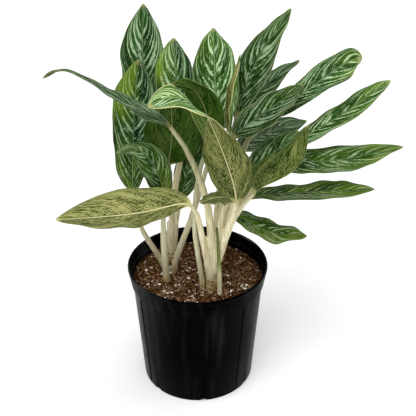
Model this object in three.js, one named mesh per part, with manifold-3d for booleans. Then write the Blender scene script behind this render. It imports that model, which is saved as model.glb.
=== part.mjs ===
// A Chinese evergreen in a 10 inch nursery pot: pot, potting soil, cream shoots and 25 leaf blades.
// Millimetres, +Z up. The origin is the middle of the pot's base, on the surface it stands on, and
// the plant is seen from -Y. Each blade is a thin sheet swept along its midrib, and it meets the
// flat end of its own stalk.
import * as THREE from 'three';
import { mergeVertices } from 'three/addons/utils/BufferGeometryUtils.js';
import Module from 'manifold-3d';

const wasm = await Module();
wasm.setup();

const GAP = 0.3; // clearance between pieces that touch on the real plant

// Pot
const POT_SIDES = 48;
const POT_WALL = 2;
const BASE_RADIUS = 104;
const BODY_TOP_RADIUS = 119.5;
const BODY_TOP = 206;
const BAND_STEP = 220; // height of the step between the two rings of the rim band
const LOWER_BAND_RADIUS = 123;
const UPPER_BAND_RADIUS = 125.5;
const RIM_RADIUS = 128;
const RIM_BOTTOM = 234;
const POT_HEIGHT = 242;
const FLOOR_THICKNESS = 3;
const RIB_COUNT = 7;
const RIB_WIDTH = 3;
const RIB_PROUD = 1.2;
const FIRST_RIB_ANGLE = -0.8; // radians from +X, the rib that faces front right
const NOTCH_WIDTH = 13;
const NOTCH_HEIGHT = 5;
const NOTCH_FROM_RIB = 0.23; // radians from a rib to the drain notch beside it

// Soil
const SOIL_TOP = 214;
const SOIL_BUMP = 2.2; // height of the uneven surface
const GRAIN_COUNT = 22;
const GRAIN_SIZE = [2.6, 4.6];
const GRAIN_SEED = 7;

// Stalks and canes
const STALK_SIDES = 7;
const STALK_STEPS = 7;
const SPAN_STEPS = 40; // steps between two points of a route when its length is measured
const STALK_FOOT_RADIUS = 7;
const STALK_TAPER = 2; // above 1 keeps the lower half of a stalk stout
const NECK_RADIUS = 3.5;
const ROOT_DEPTH = 30; // how deep a stem stands in its hole in the soil
const CANE_SIDES = 12;
const CANE_STEPS = 5;

// Blades
const ROW_COUNT = 11; // strips from neck to tip, closer together at both ends
const COLUMNS = 7; // points across a blade, with the midrib in the middle
const BLADE_THICKNESS = 1;
const NECK_ROUNDING = 0.6; // below 1 makes the outline rounder at this end of the blade
const TIP_ROUNDING = 0.95;
const RIGHT_WAVE_LAG = 1.9; // radians between the ripples of the two margins
const RIDGE_HEIGHT = 2.4; // how far the midrib stands out below at the neck
const RIDGE_TAPER = 1.5;

// Colours
const POT_BLACK = 0x141516;
const SOIL_BROWN = 0x4a3328;
const STEM_CREAM = 0xe4dfc0;
const SHOOT_GREEN = 0xb9c79a;
const LEAF_GREEN = 0x3f6d3c;
const LEAF_OLIVE = 0x77874a;

const material = (color, roughness) => new THREE.MeshStandardMaterial({ color, roughness, metalness: 0 });
const vector = ([x, y, z]) => new THREE.Vector3(x, y, z);

// The same stream of numbers from 0 to 1 for a seed each time.
function randomFrom(seed) {
  let state = seed;
  return () => {
    state = (state * 1664525 + 1013904223) % 4294967296;
    return state / 4294967296;
  };
}

function toSolid(geometry) {
  geometry.deleteAttribute('normal');
  geometry.deleteAttribute('uv');
  const merged = mergeVertices(geometry, 1e-4);
  return new wasm.Manifold(new wasm.Mesh({
    numProp: 3,
    vertProperties: new Float32Array(merged.attributes.position.array),
    triVerts: new Uint32Array(merged.index.array),
  }));
}

function toGeometry(solid) {
  const mesh = solid.getMesh();
  const geometry = new THREE.BufferGeometry();
  geometry.setAttribute('position', new THREE.BufferAttribute(mesh.vertProperties, 3));
  geometry.setIndex(new THREE.BufferAttribute(mesh.triVerts, 1));
  return geometry;
}

// ---- Pot -------------------------------------------------------------------------------------

const bodyRadiusAt = (z) => BASE_RADIUS + (BODY_TOP_RADIUS - BASE_RADIUS) * (z / BODY_TOP);

function buildPot() {
  const profile = [
    [0, 0],
    [BASE_RADIUS - 3, 0],
    [BASE_RADIUS, 3],
    [BODY_TOP_RADIUS, BODY_TOP],
    [LOWER_BAND_RADIUS, BODY_TOP + 2],
    [LOWER_BAND_RADIUS, BAND_STEP],
    [UPPER_BAND_RADIUS, BAND_STEP + 2],
    [UPPER_BAND_RADIUS, RIM_BOTTOM],
    [RIM_RADIUS, RIM_BOTTOM + 2],
    [RIM_RADIUS, POT_HEIGHT - 2],
    [RIM_RADIUS - 1.5, POT_HEIGHT],
    [RIM_RADIUS - 3.5, POT_HEIGHT],
    [UPPER_BAND_RADIUS - POT_WALL, POT_HEIGHT - 3],
    [UPPER_BAND_RADIUS - POT_WALL, BAND_STEP + 1],
    [LOWER_BAND_RADIUS - POT_WALL, BAND_STEP - 1],
    [LOWER_BAND_RADIUS - POT_WALL, BODY_TOP + 1],
    [BODY_TOP_RADIUS - POT_WALL, BODY_TOP - 1],
    [bodyRadiusAt(FLOOR_THICKNESS) - POT_WALL, FLOOR_THICKNESS],
    [0, FLOOR_THICKNESS],
  ].map(([radius, z]) => new THREE.Vector2(radius, z));
  let pot = toSolid(new THREE.LatheGeometry(profile, POT_SIDES).rotateX(Math.PI / 2));

  const lean = Math.atan((BODY_TOP_RADIUS - BASE_RADIUS) / BODY_TOP);
  for (let i = 0; i < RIB_COUNT; i += 1) {
    const angle = FIRST_RIB_ANGLE - (i * 2 * Math.PI) / RIB_COUNT;
    const rib = new THREE.BoxGeometry(2 * RIB_PROUD, RIB_WIDTH, BODY_TOP - 10);
    rib.rotateY(lean);
    rib.translate(bodyRadiusAt(BODY_TOP / 2) - 0.3, 0, BODY_TOP / 2);
    rib.rotateZ(angle);
    pot = pot.add(toSolid(rib));
    const notch = new THREE.BoxGeometry(16, NOTCH_WIDTH, 2 * NOTCH_HEIGHT);
    notch.translate(BASE_RADIUS - 1, 0, 0);
    notch.rotateZ(angle + NOTCH_FROM_RIB);
    pot = pot.subtract(toSolid(notch));
  }
  return toGeometry(pot);
}

// ---- Leaves ----------------------------------------------------------------------------------

// The two canes that most of the stalks grow from, and the leaf that is still rolled up.
const CANES = {
  left_stems: { route: [[-50, 46, 186], [-50, 46, 216], [-46, 45, 300]], foot: 8.5, top: 11 },
  right_stems: { route: [[25, -42, 186], [25, -42, 216], [35, -38, 325]], foot: 9, top: 14 },
};
const SPEAR = { route: [[40, -62, 186], [40, -62, 216], [38, -66, 289], [34, -72, 358]], foot: 4, top: 1 };

// One entry is one leaf. stalk goes from the soil or cane to just below the blade, blade from the
// neck along the midrib to the tip. face is the way the upper side looks at the middle of the blade.
// width is the full width, belly the place of the widest part from neck (0) to tip (1), base and
// point how full the outline is towards the neck and the tip, fold the lift of the two halves in
// degrees (left, right, seen on the upper side with the tip up), bow how far the margins curl back
// as a share of the half width, and twist the turn from neck to tip in degrees.
const LEAVES = [
  {
    name: 'upper_left_leaf', shoot: 'left_stems', width: 82, face: [-0.15, -1, 0.3], belly: 0.55,
    stalk: [[-50, 47, 232], [-47, 55, 341]],
    blade: [[-86, 65, 496], [-93, 90, 593], [-91, 125, 686]],
  },
  {
    name: 'left_upright_leaf', shoot: 'far_left_stalk', stalkRadius: 5.4, width: 76,
    face: [-0.1, -1, 0.2], belly: 0.78, base: 3, point: 1.15,
    stalk: [[-65, 28, 216], [-103, 20, 304]],
    blade: [[-113, 10, 382], [-108, 25, 495], [-99, 62, 609]],
  },
  {
    name: 'long_left_leaf', shoot: 'right_stems', width: 56, face: [0.2, 0.16, 0.95], belly: 0.36,
    twist: 36,
    stalk: [[27, -42, 262], [14, -60, 415]],
    blade: [[-41, -70, 544], [-102, -80, 584], [-151, -82, 617], [-202, -80, 644], [-234, -80, 628]],
  },
  {
    name: 'arching_left_leaf', shoot: 'near_left_stalk', stalkRadius: 6.8, width: 54,
    face: [-0.2, -0.6, 0.8],
    stalk: [[-57, -18, 216], [-60, -20, 300]],
    blade: [[-59, -22, 376], [-60, -38, 428], [-77, -60, 484], [-100, -82, 514], [-126, -98, 511]],
  },
  {
    name: 'shaded_left_leaf', shoot: 'left_stems', width: 96, face: [0.1, 1, 0.3], base: 2.6, point: 2,
    stalk: [[-48, 44, 240], [-46, 30, 319]],
    blade: [[-48, 0, 442], [-40, -25, 509], [-40, -44, 588]],
  },
  {
    name: 'low_left_leaf', shoot: 'right_stems', width: 92, face: [0, 0.9, -0.3],
    base: 2, point: 2, fold: [4, 52],
    stalk: [[24, -45, 228], [10, -55, 323]],
    blade: [[-11, -62, 397], [-88, -95, 400], [-151, -115, 404], [-228, -125, 405]],
  },
  {
    name: 'centre_left_leaf', shoot: 'left_stems', width: 94, face: [-0.6, -1, 0.3], belly: 0.55,
    point: 2.1, fold: [26, 26],
    stalk: [[-48, 46, 262], [-43, 45, 357]],
    blade: [[-24, 40, 473], [-33, 52, 566], [-39, 85, 639]],
  },
  {
    name: 'hidden_back_leaf', shoot: 'left_stems', width: 52, face: [0, -1, 0.4],
    stalk: [[-49, 47, 226], [-43, 66, 278]],
    blade: [[-32, 84, 326], [-14, 90, 398], [8, 98, 476]],
  },
  {
    name: 'centre_leaf', shoot: 'middle_left_stalk', stalkRadius: 6, width: 82, face: [0, -1, 0.3],
    belly: 0.52, point: 2,
    stalk: [[-46, 14, 216], [-8, 18, 333], [15, 28, 416]],
    blade: [[35, 33, 487], [31, 48, 573], [28, 90, 655]],
  },
  {
    name: 'curling_front_leaf', shoot: 'right_stems', width: 70, face: [0.2, 0.28, 0.95],
    belly: 0.55, point: 3, twist: -115,
    stalk: [[31, -41, 272], [45, -50, 381]],
    blade: [
      [59, -58, 446], [42, -64, 498], [20, -72, 544], [-1, -84, 583],
      [-22, -98, 606], [-46, -112, 611], [-72, -124, 599],
    ],
  },
  {
    name: 'dark_centre_leaf', shoot: 'middle_stalk', stalkRadius: 5, width: 60, face: [0.3, 1, 0.3],
    stalk: [[10, -44, 216], [-5, -32, 346], [5, -20, 441]],
    blade: [[22, -20, 494], [14, -28, 560], [-6, -34, 596], [-40, -38, 604]],
  },
  {
    name: 'upper_right_leaf', shoot: 'right_stems', width: 64, face: [-0.5, -1, 0.3], belly: 0.46,
    point: 1.25,
    stalk: [[34, -34, 300], [44, 0, 382]],
    blade: [[69, 45, 514], [101, 70, 602], [159, 100, 685]],
  },
  {
    name: 'folded_centre_leaf', shoot: 'right_stems', width: 36, face: [-0.9, -0.4, 0.1], fold: [55, 55],
    stalk: [[33, -36, 306], [38, -12, 388]],
    blade: [[56, 0, 492], [65, 10, 565], [73, 25, 631]],
  },
  {
    name: 'back_right_leaf', shoot: 'right_stems', width: 48, face: [-0.3, -1, 0.6], point: 1.1,
    stalk: [[33, -33, 312], [48, 20, 371]],
    blade: [[69, 85, 477], [114, 115, 534], [183, 145, 577]],
  },
  {
    name: 'long_right_leaf', shoot: 'right_stems', width: 54, face: [-0.3, -0.7, 0.7],
    belly: 0.8, base: 1.3, point: 3.6,
    stalk: [[33, -37, 286], [74, 5, 448]],
    blade: [[103, 12, 510], [173, 22, 559], [229, 28, 602], [257, 28, 621], [271, 18, 623]],
  },
  {
    name: 'inner_right_leaf', shoot: 'right_stems', width: 52, face: [-0.3, -0.8, 0.6], belly: 0.42,
    stalk: [[34, -37, 296], [50, -30, 418]],
    blade: [[62, -30, 506], [115, -20, 549], [176, 5, 585]],
  },
  {
    name: 'grey_right_leaf', shoot: 'right_stems', width: 60, face: [0, -0.6, 0.8],
    stalk: [[30, -36, 276], [46, 15, 373]],
    blade: [[72, 60, 438], [134, 90, 463], [199, 115, 472]],
  },
  {
    name: 'outer_right_leaf', shoot: 'right_stems', width: 42, face: [-0.2, -0.5, 0.8],
    belly: 0.6, point: 3.2,
    stalk: [[31, -38, 266], [75, 0, 382]],
    blade: [[139, 20, 450], [238, 42, 508], [331, 60, 572]],
  },
  {
    name: 'level_right_leaf', shoot: 'right_stems', width: 64, face: [0, -0.4, 0.9],
    stalk: [[31, -39, 256], [75, -8, 366]],
    blade: [[130, 12, 429], [249, 22, 439], [358, 25, 463]],
  },
  {
    name: 'low_right_leaf', shoot: 'right_stems', width: 55, face: [0, -0.1, 1], belly: 0.6,
    base: 3, point: 2.8,
    stalk: [[29, -38, 246], [55, -5, 342]],
    blade: [[92, -12, 382], [206, 0, 388], [313, 10, 388]],
  },
  {
    name: 'drooping_right_leaf', shoot: 'right_stems', width: 48, face: [0.3, -0.4, 0.85],
    belly: 0.58, point: 2.2,
    stalk: [[28, -41, 236], [38, -14, 300]],
    blade: [[57, 14, 333], [130, 9, 300], [198, 0, 297]],
  },
  {
    name: 'front_leaf', shoot: 'right_stems', width: 76, face: [0.1, 1, 0.3],
    stalk: [[26, -46, 232], [43, -62, 321]],
    blade: [[65, -85, 416], [45, -115, 513], [19, -130, 587]],
  },
  {
    name: 'front_right_leaf', shoot: 'right_stems', width: 100, face: [-0.6, 0.5, 0.55],
    fold: [62, 62], bow: 0.04, wave: 0.6, belly: 0.45, base: 4,
    stalk: [[27, -46, 226], [45, -52, 323]],
    blade: [[95, -70, 424], [136, -84, 453], [163, -92, 477], [176, -100, 518], [174, -104, 564]],
  },
  {
    name: 'inner_front_leaf', shoot: 'right_stems', width: 50, face: [-0.4, -0.7, 0.6],
    stalk: [[31, -41, 262], [52, -32, 360]],
    blade: [[84, -12, 431], [126, -18, 469], [168, -26, 519]],
  },
  {
    name: 'small_front_leaf', shoot: 'right_stems', width: 32, face: [0, 0.3, -0.9], base: 1.2,
    stalk: [[27, -46, 240], [50, -56, 330]],
    blade: [[67, -64, 404], [38, -76, 419], [5, -100, 423]],
  },
];

const LEAF_DEFAULTS = {
  belly: 0.46, base: 2.2, point: 1.7, fold: [12, 12], bow: 0.12, twist: 0, wave: 1.6, waves: 2.5,
};

// Half width as a share of its largest value, row running from neck (0) to tip (1).
function outlineAt(row, { belly, base, point }) {
  if (row < belly) return (1 - ((belly - row) / belly) ** base) ** NECK_ROUNDING;
  return (1 - ((row - belly) / (1 - belly)) ** point) ** TIP_ROUNDING;
}

// The route of a leaf from foot to tip, and how far along it the neck is, from 0 to 1. A stalk with
// no cane goes on down into the soil.
function leafRoute({ shoot, stalk, blade }) {
  const foot = stalk[0];
  const root = shoot in CANES ? [] : [[foot[0], foot[1], foot[2] - ROOT_DEPTH]];
  const points = [...root, ...stalk, ...blade].map(vector);
  const curve = new THREE.CatmullRomCurve3(points, false, 'centripetal');
  const spans = points.length - 1;
  const lengths = curve.getLengths(SPAN_STEPS * spans);
  const neck = lengths[SPAN_STEPS * (spans - blade.length + 1)] / curve.getLength();
  return { curve, neck };
}

// A round bar along a curve from one share of its length to another.
function taperedBar(curve, from, to, radiusAt, sides, steps) {
  const bar = new THREE.CylinderGeometry(1, 1, 1, sides, steps);
  const position = bar.attributes.position;
  const forward = new THREE.Vector3(0, 1, 0);
  for (let i = 0; i < position.count; i += 1) {
    const share = 0.5 + position.getY(i);
    const along = from + (to - from) * share;
    const tangent = curve.getTangentAt(along);
    const side = new THREE.Vector3().crossVectors(forward, tangent).normalize();
    const front = new THREE.Vector3().crossVectors(tangent, side);
    const point = curve.getPointAt(along);
    point.addScaledVector(side, position.getX(i) * radiusAt(share));
    point.addScaledVector(front, -position.getZ(i) * radiusAt(share));
    position.setXYZ(i, point.x, point.y, point.z);
  }
  return bar;
}

function stalkBar(leaf, grow) {
  const { curve, neck } = leafRoute(leaf);
  const foot = leaf.stalkRadius ?? STALK_FOOT_RADIUS;
  const radiusAt = (share) => NECK_RADIUS + (foot - NECK_RADIUS) * (1 - share ** STALK_TAPER) + grow;
  const end = neck - (GAP / curve.getLength());
  return toSolid(taperedBar(curve, 0, end, radiusAt, STALK_SIDES, STALK_STEPS));
}

// Upper-side directions along the blade, carried without turning from the middle to both ends.
function bladeFrames(curve, shares, face) {
  const tangents = shares.map((share) => curve.getTangentAt(share));
  const across = (direction, tangent) => {
    const forward = direction.dot(tangent);
    return direction.clone().addScaledVector(tangent, -forward).normalize();
  };
  const middle = Math.floor(shares.length / 2);
  const normals = [];
  normals[middle] = across(vector(face), tangents[middle]);
  for (let i = middle + 1; i < shares.length; i += 1) normals[i] = across(normals[i - 1], tangents[i]);
  for (let i = middle - 1; i >= 0; i -= 1) normals[i] = across(normals[i + 1], tangents[i]);
  return tangents.map((tangent, i) => ({ tangent, normal: normals[i] }));
}

function bladeGeometry(entry) {
  const leaf = { ...LEAF_DEFAULTS, ...entry };
  const { curve, neck } = leafRoute(leaf);
  const rowAt = (_, i) => 0.5 - 0.5 * Math.cos((Math.PI * i) / ROW_COUNT);
  const rows = Array.from({ length: ROW_COUNT + 1 }, rowAt);
  const shares = rows.map((row) => neck + (1 - neck) * row);
  const frames = bladeFrames(curve, shares, leaf.face);
  const half = BLADE_THICKNESS / 2;
  const upper = [];
  const lower = [];

  rows.slice(0, -1).forEach((row, i) => {
    const { tangent } = frames[i];
    const turn = THREE.MathUtils.degToRad(leaf.twist) * (row - 0.5);
    const normal = frames[i].normal.clone().applyAxisAngle(tangent, turn);
    const side = new THREE.Vector3().crossVectors(tangent, normal);
    const centre = curve.getPointAt(shares[i]);
    const halfWidth = Math.max(NECK_RADIUS, (leaf.width / 2) * outlineAt(row, leaf));
    for (let j = 0; j < COLUMNS; j += 1) {
      const c = (2 * j) / (COLUMNS - 1) - 1;
      let x = NECK_RADIUS * c;
      let height = 0;
      let slope = 0;
      let above = Math.max(half, NECK_RADIUS * Math.sqrt(1 - c * c));
      let below = above;
      if (i > 0) {
        const fold = THREE.MathUtils.degToRad(leaf.fold[c < 0 ? 0 : 1]);
        const phase = 2 * Math.PI * leaf.waves * row + (c < 0 ? 0 : RIGHT_WAVE_LAG);
        const ripple = leaf.wave * Math.sin(phase) * Math.sin(Math.PI * row);
        x = halfWidth * c * Math.cos(fold);
        height = halfWidth * (Math.abs(c) * Math.sin(fold) - leaf.bow * c * c) + ripple * c * c;
        slope = c === 0 ? 0 : Math.sign(c) * Math.tan(fold) - 2 * leaf.bow * c;
        above = half;
        below = half + (c === 0 ? RIDGE_HEIGHT * (1 - row) ** RIDGE_TAPER : 0);
      }
      const middle = centre.clone().addScaledVector(side, x).addScaledVector(normal, height);
      const outward = normal.clone().addScaledVector(side, -slope).normalize();
      upper.push(middle.clone().addScaledVector(outward, above));
      lower.push(middle.clone().addScaledVector(outward, -below));
    }
  });
  const tip = curve.getPointAt(1);
  const tipNormal = frames[ROW_COUNT].normal;
  upper.push(tip.clone().addScaledVector(tipNormal, half));
  lower.push(tip.clone().addScaledVector(tipNormal, -half));

  const under = upper.length;
  const last = COLUMNS - 1;
  const faces = [];
  const quad = (a, b, c, d) => faces.push(a, b, c, a, c, d);
  for (let j = 0; j < last; j += 1) {
    quad(j + 1, j, under + j, under + j + 1);
    for (let i = 0; i < ROW_COUNT - 1; i += 1) {
      const a = i * COLUMNS + j;
      faces.push(a, a + 1, a + COLUMNS, a + 1, a + COLUMNS + 1, a + COLUMNS);
      const b = under + a;
      faces.push(b, b + COLUMNS, b + 1, b + 1, b + COLUMNS, b + COLUMNS + 1);
    }
    const end = (ROW_COUNT - 1) * COLUMNS + j;
    faces.push(end, end + 1, under - 1);
    faces.push(under + end, 2 * under - 1, under + end + 1);
  }
  for (let i = 0; i < ROW_COUNT - 1; i += 1) {
    const left = i * COLUMNS;
    const right = left + last;
    quad(left, left + COLUMNS, under + left + COLUMNS, under + left);
    quad(right, under + right, under + right + COLUMNS, right + COLUMNS);
  }
  const left = (ROW_COUNT - 1) * COLUMNS;
  quad(left, under - 1, 2 * under - 1, under + left);
  quad(left + last, under + left + last, 2 * under - 1, under - 1);

  const geometry = new THREE.BufferGeometry();
  geometry.setFromPoints([...upper, ...lower]);
  geometry.setIndex(faces);
  return geometry;
}

// ---- Canes, shoots and soil ------------------------------------------------------------------

function bar({ route, foot, top }, grow, sides) {
  const curve = new THREE.CatmullRomCurve3(route.map(vector), false, 'centripetal');
  return toSolid(taperedBar(curve, 0, 1, (share) => foot + (top - foot) * share + grow, sides, CANE_STEPS));
}

// Every stem of the plant by node name. grow is 0 for the stems and the clearance for their holes.
function buildShoots(grow) {
  const shoots = { spear: bar(SPEAR, grow, STALK_SIDES) };
  for (const [name, cane] of Object.entries(CANES)) shoots[name] = bar(cane, grow, CANE_SIDES);
  for (const leaf of LEAVES) {
    const stalk = stalkBar(leaf, grow);
    shoots[leaf.shoot] = shoots[leaf.shoot] ? shoots[leaf.shoot].add(stalk) : stalk;
  }
  return shoots;
}

function buildSoil() {
  const radius = LOWER_BAND_RADIUS - POT_WALL - GAP;
  const neckRadius = BODY_TOP_RADIUS - POT_WALL - GAP;
  const floor = FLOOR_THICKNESS + GAP;
  const profile = [
    [0, floor],
    [bodyRadiusAt(FLOOR_THICKNESS) - POT_WALL - GAP, floor],
    [neckRadius, BODY_TOP - 0.6],
    [radius, BODY_TOP + 1.4],
    [radius, SOIL_TOP - 4],
    [radius - 12, SOIL_TOP],
    [radius - 40, SOIL_TOP],
    [radius - 70, SOIL_TOP],
    [radius - 98, SOIL_TOP],
    [0, SOIL_TOP],
  ].map(([r, z]) => new THREE.Vector2(r, z));
  const ground = new THREE.LatheGeometry(profile, POT_SIDES).rotateX(Math.PI / 2);
  const position = ground.attributes.position;
  const lumps = (x, y) => Math.sin(x / 17 + 1) * Math.cos(y / 21) + 0.5 * Math.sin(x / 7 - y / 9);
  for (let i = 0; i < position.count; i += 1) {
    if (position.getZ(i) >= SOIL_TOP) {
      position.setZ(i, SOIL_TOP + SOIL_BUMP * lumps(position.getX(i), position.getY(i)));
    }
  }
  let soil = toSolid(ground);

  const random = randomFrom(GRAIN_SEED);
  for (let i = 0; i < GRAIN_COUNT; i += 1) {
    const size = GRAIN_SIZE[0] + (GRAIN_SIZE[1] - GRAIN_SIZE[0]) * random();
    const reach = (radius - 14) * Math.sqrt(random());
    const angle = 2 * Math.PI * random();
    const x = reach * Math.cos(angle);
    const y = reach * Math.sin(angle);
    const grain = new THREE.IcosahedronGeometry(size, 0);
    grain.rotateX(3 * random());
    grain.rotateZ(3 * random());
    grain.translate(x, y, SOIL_TOP + SOIL_BUMP * lumps(x, y) + 0.2 * size);
    soil = soil.add(toSolid(grain));
  }
  for (const hole of Object.values(buildShoots(GAP + 0.1))) soil = soil.subtract(hole);
  return toGeometry(soil);
}

// ---- The object ------------------------------------------------------------------------------

const evergreen = new THREE.Group();
evergreen.name = 'potted_chinese_evergreen';

function addPiece(name, geometry, finish) {
  const mesh = new THREE.Mesh(geometry, finish);
  mesh.name = name;
  evergreen.add(mesh);
}

addPiece('pot', buildPot(), material(POT_BLACK, 0.45));
addPiece('soil', buildSoil(), material(SOIL_BROWN, 0.95));
for (const [name, shoot] of Object.entries(buildShoots(0))) {
  addPiece(name, toGeometry(shoot), material(name === 'spear' ? SHOOT_GREEN : STEM_CREAM, 0.5));
}
for (const leaf of LEAVES) {
  const showsUnderside = vector(leaf.face).y > 0;
  addPiece(leaf.name, bladeGeometry(leaf), material(showsUnderside ? LEAF_OLIVE : LEAF_GREEN, 0.45));
}

export default evergreen;
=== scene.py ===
# A Chinese evergreen in a black 10 inch nursery pot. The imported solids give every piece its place
# and its shape; here each one is made again with the surface of the real thing. Metres, +Z up.
import math
import random

import bmesh
import bpy
import numpy as np
from mathutils import Matrix, Vector, noise


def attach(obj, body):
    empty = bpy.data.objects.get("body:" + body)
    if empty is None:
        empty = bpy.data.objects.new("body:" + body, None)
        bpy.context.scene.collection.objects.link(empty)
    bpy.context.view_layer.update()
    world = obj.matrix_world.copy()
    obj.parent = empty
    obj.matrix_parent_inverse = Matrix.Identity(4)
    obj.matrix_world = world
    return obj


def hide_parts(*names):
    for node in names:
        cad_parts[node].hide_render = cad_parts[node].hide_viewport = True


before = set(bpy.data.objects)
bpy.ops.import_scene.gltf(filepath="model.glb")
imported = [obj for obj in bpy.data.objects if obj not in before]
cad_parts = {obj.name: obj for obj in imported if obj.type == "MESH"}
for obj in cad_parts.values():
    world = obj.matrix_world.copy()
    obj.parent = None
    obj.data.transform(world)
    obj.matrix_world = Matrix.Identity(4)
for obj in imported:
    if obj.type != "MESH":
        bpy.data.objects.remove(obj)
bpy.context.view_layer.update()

# ---- Camera -------------------------------------------------------------------------------------
# The photograph looks down on the plant at about 30 degrees, from 1.3 m in front of the pot. It is
# 416 pixels wide, and its focal length was found in pixels too, by matching the solids to it.
PHOTO_WIDTH = 416
FOCAL_LENGTH = 848
SENSOR_WIDTH = 36  # mm
CAMERA_PLACE = (0.019, -1.3, 1.1)
CAMERA_TILT = math.radians(60.2)  # from looking straight down

bpy.ops.object.camera_add(location=CAMERA_PLACE, rotation=(CAMERA_TILT, 0, 0))
camera = bpy.context.object
camera.name = "camera"
camera.data.sensor_width = SENSOR_WIDTH
camera.data.lens = SENSOR_WIDTH * FOCAL_LENGTH / PHOTO_WIDTH
bpy.context.scene.camera = camera

# ---- White floor and studio light ---------------------------------------------------------------
# A matte white paper sweep, lit from all round, with broad soft light from high on the left. A tall
# strip at the left is for the pot alone, and lays one long reflection down its side.
FLOOR_SIZE = 30
SKY_STRENGTH = 0.38
SUNS = (  # name, where it stands, spread in degrees, strength
    ("key_light", (-1.0, -1.5, 2.2), 65, 2.3),
    ("fill_light", (1.6, -1.2, 1.2), 80, 0.7),
    ("floor_light", (1.6, 1.3, 1.5), 85, 1.1),
)
STRIP_PLACE = (-1.5, 0.05, 0.5)
STRIP_TARGET = (0, 0, 0.15)
STRIP_WIDTH = 0.5
STRIP_HEIGHT = 1.2
STRIP_POWER = 130


def linear(hex_colour):
    """An sRGB hex colour as the linear values that a shader takes."""
    parts = [int(hex_colour[i:i + 2], 16) / 255 for i in (1, 3, 5)]
    return [p / 12.92 if p <= 0.04045 else ((p + 0.055) / 1.055) ** 2.4 for p in parts] + [1.0]


def add(tree, kind, inputs=None, stops=None, **settings):
    """Adds a shader node with its settings, its numbers and colours, and its links."""
    made = tree.nodes.new("ShaderNode" + kind)
    for key, value in settings.items():
        setattr(made, key, value)
    for key, value in (inputs or {}).items():
        if isinstance(value, bpy.types.NodeSocket):
            tree.links.new(value, made.inputs[key])
        else:
            made.inputs[key].default_value = value
    if stops:
        for place, _ in stops[2:]:
            made.color_ramp.elements.new(place)
        for element, (place, colour) in zip(made.color_ramp.elements, stops):
            element.position = place
            element.color = linear(colour)
    return made


def start_material(name, **shader_values):
    """A new material with its Principled shader set to these values."""
    finish = bpy.data.materials.new(name)
    finish.use_nodes = True
    shader = finish.node_tree.nodes["Principled BSDF"]
    for key, value in shader_values.items():
        shader.inputs[key.replace("_", " ")].default_value = value
    return finish, finish.node_tree, shader


def aim(lamp, target):
    """Turns a lamp towards a point."""
    lamp.rotation_euler = (Vector(target) - lamp.location).to_track_quat("-Z", "Y").to_euler()


bpy.ops.mesh.primitive_plane_add(size=FLOOR_SIZE, location=(0, 0, 0))
floor = bpy.context.object
floor.name = "paper_floor"
# White with the faintest grain, so that the ground all but vanishes, as it does in the photograph.
paper, tree, shader = start_material("white_paper", Roughness=0.9)
grain = add(tree, "TexNoise", {"Scale": 400.0, "Detail": 2.0})
shade = add(tree, "MapRange", {"Value": grain.outputs["Fac"], "To Min": 0.98, "To Max": 1.0})
tree.links.new(shade.outputs["Result"], shader.inputs["Base Color"])
floor.data.materials.append(paper)

world = bpy.data.worlds.new("studio")
world.use_nodes = True
world.node_tree.nodes["Background"].inputs["Color"].default_value = (1, 1, 1, 1)
world.node_tree.nodes["Background"].inputs["Strength"].default_value = SKY_STRENGTH
bpy.context.scene.world = world
bpy.context.scene.view_settings.view_transform = "Standard"

for name, place, spread, power in SUNS:
    bpy.ops.object.light_add(type="SUN", location=place)
    lamp = bpy.context.object
    lamp.name = name
    lamp.data.angle = math.radians(spread)
    lamp.data.energy = power
    aim(lamp, (0, 0, 0))

bpy.ops.object.light_add(type="AREA", location=STRIP_PLACE)
strip = bpy.context.object
strip.name = "left_strip_light"
strip.data.shape = "RECTANGLE"
strip.data.size = STRIP_WIDTH
strip.data.size_y = STRIP_HEIGHT
strip.data.energy = STRIP_POWER
strip.visible_diffuse = False
aim(strip, STRIP_TARGET)

# ---- Nursery pot --------------------------------------------------------------------------------
# Black injection-moulded polypropylene: a tapered body, a band with two steps, a rolled lip, seven
# upright ribs and drain notches round the foot. It has a satin skin, with dust and a painted sheen
# on its left side.
POT_PROFILE = [  # radius and height in mm, up the outside and down the inside
    (98, 0), (101, 0), (103.4, 0.9), (104.2, 3), (111.8, 104), (119.3, 203), (119.9, 206),
    (122.6, 207.2), (123, 209), (123, 218.6), (123.3, 220.2), (125.2, 221.2), (125.5, 223),
    (125.5, 232.4), (125.9, 234), (127.4, 234.8), (128, 236.5), (128, 239.4), (127.1, 241.4),
    (125.6, 242), (124.4, 241.2), (123.6, 239), (123.5, 221.4), (121.2, 219.4), (121, 207),
    (117.6, 205), (112.6, 130), (103, 6), (60, 5),
]
POT_SIDES = 144
WALL_LEAN = math.atan((119.3 - 104.2) / 200)  # of the body, from its foot to the band
RIB_COUNT = 7
FIRST_RIB = -0.8  # radians
RIB_SIZE = (0.0026, 0.003, 0.194)  # out from the wall, round it and up it
RIB_PLACE = (0.1115, 0, 0.103)
RIB_ROUNDING = 0.0009
NOTCH_TURN = 0.23  # radians from a rib to the notch beside it
NOTCH_SIDES = 24
NOTCH_RADIUS = 0.0065
NOTCH_DEPTH = 0.016
NOTCH_PLACE = (0.103, 0, 0)
NOTCH_FLATNESS = 0.75
SHARP_ANGLE = math.radians(38)


def pick(piece):
    """Selects one piece by itself, in object mode."""
    if bpy.context.mode != "OBJECT":
        bpy.ops.object.mode_set(mode="OBJECT")
    bpy.ops.object.select_all(action="DESELECT")
    bpy.context.view_layer.objects.active = piece
    piece.select_set(True)


def edit(piece, select):
    """Goes into edit mode on one piece with all of it selected, or nothing."""
    pick(piece)
    bpy.ops.object.mode_set(mode="EDIT")
    bpy.ops.mesh.select_all(action=select)


def apply_modifier(piece, kind, **settings):
    """Adds one modifier to a piece and applies it."""
    pick(piece)
    modifier = piece.modifiers.new(kind.lower(), kind)
    for key, value in settings.items():
        setattr(modifier, key, value)
    bpy.ops.object.modifier_apply(modifier=modifier.name)


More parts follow.
